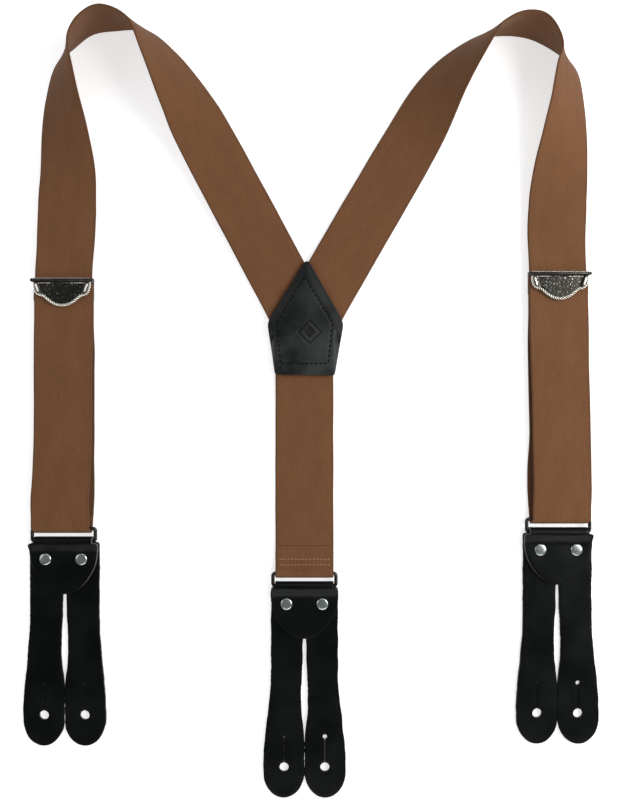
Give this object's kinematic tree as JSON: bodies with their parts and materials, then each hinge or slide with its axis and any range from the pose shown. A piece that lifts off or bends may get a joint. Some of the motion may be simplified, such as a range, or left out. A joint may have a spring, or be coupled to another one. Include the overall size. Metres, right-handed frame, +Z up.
{
  "type": "suspenders",
  "caption": "Y-back elastic suspenders with a leather back patch, lever adjusters and leather button tabs on wire rings, laid flat with the shoulder loops on edge.",
  "frame": {"origin": "on the table under the middle of the back patch", "axes": "+Z up from the table, +Y towards the shoulder loops, +X to the right as the straps lie"},
  "size_m": [0.3753, 0.5027, 0.038],
  "materials": {
    "webbing": "ribbed woven elastic, matt",
    "webbing_inside": "woven elastic, back face, matt",
    "hide": "smooth finished leather, satin",
    "patch_hide": "smooth finished leather, soft satin",
    "black_thread": "waxed sewing thread",
    "tan_thread": "sewing thread",
    "dark_metal": "gunmetal plated steel, satin",
    "bright_trim": "bright plated rope moulding",
    "nickel": "nickel plated, lightly scuffed"
  },
  "bodies": {
    "harness": {"patch_front": "patch_hide", "patch_lining": "patch_hide", "patch_stitching": "black_thread", "left_strap": "webbing", "right_strap": "webbing", "back_strap": "webbing"},
    "left_front": {"left_front_run": "webbing"},
    "left_turn": {"left_ring_turn": "webbing", "left_return_run": "webbing_inside"},
    "left_adjuster": {"left_return_end": "webbing_inside", "left_end_stitching": "tan_thread", "left_adjuster_frame": "dark_metal", "left_pivot_pin": "dark_metal"},
    "left_clamp": {"left_lever": "dark_metal", "left_lever_trim": "bright_trim"},
    "right_front": {"right_front_run": "webbing"},
    "right_turn": {"right_ring_turn": "webbing", "right_return_run": "webbing_inside"},
    "right_adjuster": {"right_return_end": "webbing_inside", "right_end_stitching": "tan_thread", "right_adjuster_frame": "dark_metal", "right_pivot_pin": "dark_metal"},
    "right_clamp": {"right_lever": "dark_metal", "right_lever_trim": "bright_trim"},
    "back_end": {"back_ring_turn": "webbing", "back_end_stitching": "tan_thread"},
    "left_ring_link": {"left_ring": "dark_metal"},
    "left_button_tab": {"left_tab": "hide", "left_rivet_caps": "nickel", "left_rivet_studs": "nickel"},
    "right_ring_link": {"right_ring": "dark_metal"},
    "right_button_tab": {"right_tab": "hide", "right_rivet_caps": "nickel", "right_rivet_studs": "nickel"},
    "back_ring_link": {"back_ring": "dark_metal"},
    "back_button_tab": {"back_tab": "hide", "back_rivet_caps": "nickel", "back_rivet_studs": "nickel"}
  },
  "joints": [
    {"name": "left_stretch", "type": "slide", "parent": "harness", "child": "left_front", "axis": [0, -1, 0], "range_m": [0, 0.03], "stiffness_N_per_m": 250},
    {"name": "left_length", "type": "slide", "parent": "left_front", "child": "left_turn", "axis": [0, 1, 0], "range_m": [-0.08, 0.018], "deforming": ["left_front_run"]},
    {"name": "left_adjuster_slide", "type": "slide", "parent": "left_turn", "child": "left_adjuster", "axis": [0, 1, 0], "range_m": [-0.08, 0.018], "deforming": ["left_return_run"]},
    {"name": "left_lever_flip", "type": "hinge", "parent": "left_adjuster", "child": "left_clamp", "pos_m": [-0.1565, 0.0263, 0.009], "axis": [-1, 0, 0], "range_deg": [0, 110]},
    {"name": "right_stretch", "type": "slide", "parent": "harness", "child": "right_front", "axis": [0, -1, 0], "range_m": [0, 0.03], "stiffness_N_per_m": 250},
    {"name": "right_length", "type": "slide", "parent": "right_front", "child": "right_turn", "axis": [0, 1, 0], "range_m": [-0.08, 0.018], "deforming": ["right_front_run"]},
    {"name": "right_adjuster_slide", "type": "slide", "parent": "right_turn", "child": "right_adjuster", "axis": [0, 1, 0], "range_m": [-0.08, 0.018], "deforming": ["right_return_run"]},
    {"name": "right_lever_flip", "type": "hinge", "parent": "right_adjuster", "child": "right_clamp", "pos_m": [0.165, 0.0306, 0.009], "axis": [-1, 0, 0], "range_deg": [0, 110]},
    {"name": "back_stretch", "type": "slide", "parent": "harness", "child": "back_end", "axis": [0, -1, 0], "range_m": [0, 0.05], "stiffness_N_per_m": 400},
    {"name": "left_ring_swing", "type": "hinge", "parent": "left_turn", "child": "left_ring_link", "pos_m": [-0.1565, -0.1346, 0.0039], "axis": [1, 0, 0], "range_deg": [-80, 80]},
    {"name": "left_tab_swing", "type": "hinge", "parent": "left_ring_link", "child": "left_button_tab", "pos_m": [-0.1565, -0.1428, 0.0039], "axis": [1, 0, 0], "range_deg": [-70, 70]},
    {"name": "right_ring_swing", "type": "hinge", "parent": "right_turn", "child": "right_ring_link", "pos_m": [0.165, -0.1285, 0.0039], "axis": [1, 0, 0], "range_deg": [-80, 80]},
    {"name": "right_tab_swing", "type": "hinge", "parent": "right_ring_link", "child": "right_button_tab", "pos_m": [0.165, -0.1367, 0.0039], "axis": [1, 0, 0], "range_deg": [-70, 70]},
    {"name": "back_ring_swing", "type": "hinge", "parent": "back_end", "child": "back_ring_link", "pos_m": [0, -0.1637, 0.0039], "axis": [1, 0, 0], "range_deg": [-80, 80]},
    {"name": "back_tab_swing", "type": "hinge", "parent": "back_ring_link", "child": "back_button_tab", "pos_m": [0, -0.1719, 0.0039], "axis": [1, 0, 0], "range_deg": [-70, 70]}
  ],
  "couplings": [
    {"joint": "left_adjuster_slide", "follows": "left_length", "ratio": 1},
    {"joint": "right_adjuster_slide", "follows": "right_length", "ratio": 1}
  ]
}
